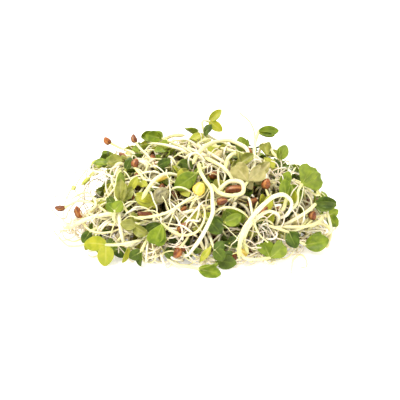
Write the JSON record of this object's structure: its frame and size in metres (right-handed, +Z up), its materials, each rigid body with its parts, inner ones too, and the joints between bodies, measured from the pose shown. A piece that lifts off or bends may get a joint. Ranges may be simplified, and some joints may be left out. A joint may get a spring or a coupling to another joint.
{
  "type": "heap of mixed sprouts",
  "caption": "Loose tangled heap of mixed cut sprouts: white stems, matted roots, small green seed leaves and clinging seed coats, lying on a surface as a salad or garnish.",
  "frame": {"origin": "middle of the flat underside of the root clump that the heap stands on, on the surface that the heap lies on", "axes": "+X along the heap's length, to the right as the picture shows it; +Y away from the viewer; +Z up"},
  "size_m": [0.1126, 0.0828, 0.0419],
  "materials": {
    "stem": "pale creamy white, glossy and a little see-through",
    "lime": "bright yellow-green leaf",
    "dark": "dark green leaf",
    "green": "fresh mid green leaf",
    "olive": "grey-green underside of a leaf",
    "coat": "red-brown seed coat",
    "kernel": "yellow seed"
  },
  "bodies": {
    "root": {"stem_bunch_01": "stem", "stem_bunch_02": "stem", "stem_bunch_03": "stem", "stem_bunch_04": "stem", "stem_bunch_05": "stem", "stem_bunch_06": "stem", "stem_bunch_07": "stem", "stem_bunch_08": "stem", "stem_bunch_09": "stem", "stem_bunch_10": "stem", "stem_bunch_11": "stem", "leaf_pair_01": "lime", "leaf_pair_02": "dark", "leaf_pair_03": "green", "leaf_pair_04": "green", "leaf_pair_05": "green", "leaf_pair_06": "green", "leaf_pair_07": "green", "leaf_pair_08": "green", "leaf_pair_09": "dark", "leaf_pair_10": "green", "leaf_pair_11": "green", "leaf_pair_12": "dark", "leaf_pair_13": "green", "leaf_pair_14": "green", "leaf_pair_15": "green", "leaf_pair_16": "lime", "leaf_pair_17": "olive", "leaf_pair_18": "green", "leaf_pair_19": "lime", "leaf_pair_20": "dark", "leaf_pair_21": "dark", "leaf_pair_22": "green", "leaf_pair_23": "dark", "leaf_pair_24": "dark", "leaf_pair_25": "green", "leaf_pair_26": "dark", "leaf_pair_27": "olive", "leaf_pair_28": "dark", "leaf_pair_29": "olive", "leaf_pair_30": "green", "leaf_pair_31": "dark", "leaf_pair_32": "lime", "leaf_pair_33": "green", "leaf_pair_34": "green", "leaf_pair_35": "dark", "leaf_pair_36": "lime", "leaf_pair_37": "green", "leaf_pair_38": "green", "seed_coat_01": "coat", "seed_coat_02": "coat", "seed_coat_03": "coat", "seed_coat_04": "coat", "seed_coat_05": "coat", "seed_coat_06": "coat", "seed_coat_07": "coat", "seed_coat_08": "coat", "seed_coat_09": "coat", "yellow_kernel": "kernel"}
  },
  "joints": []
}
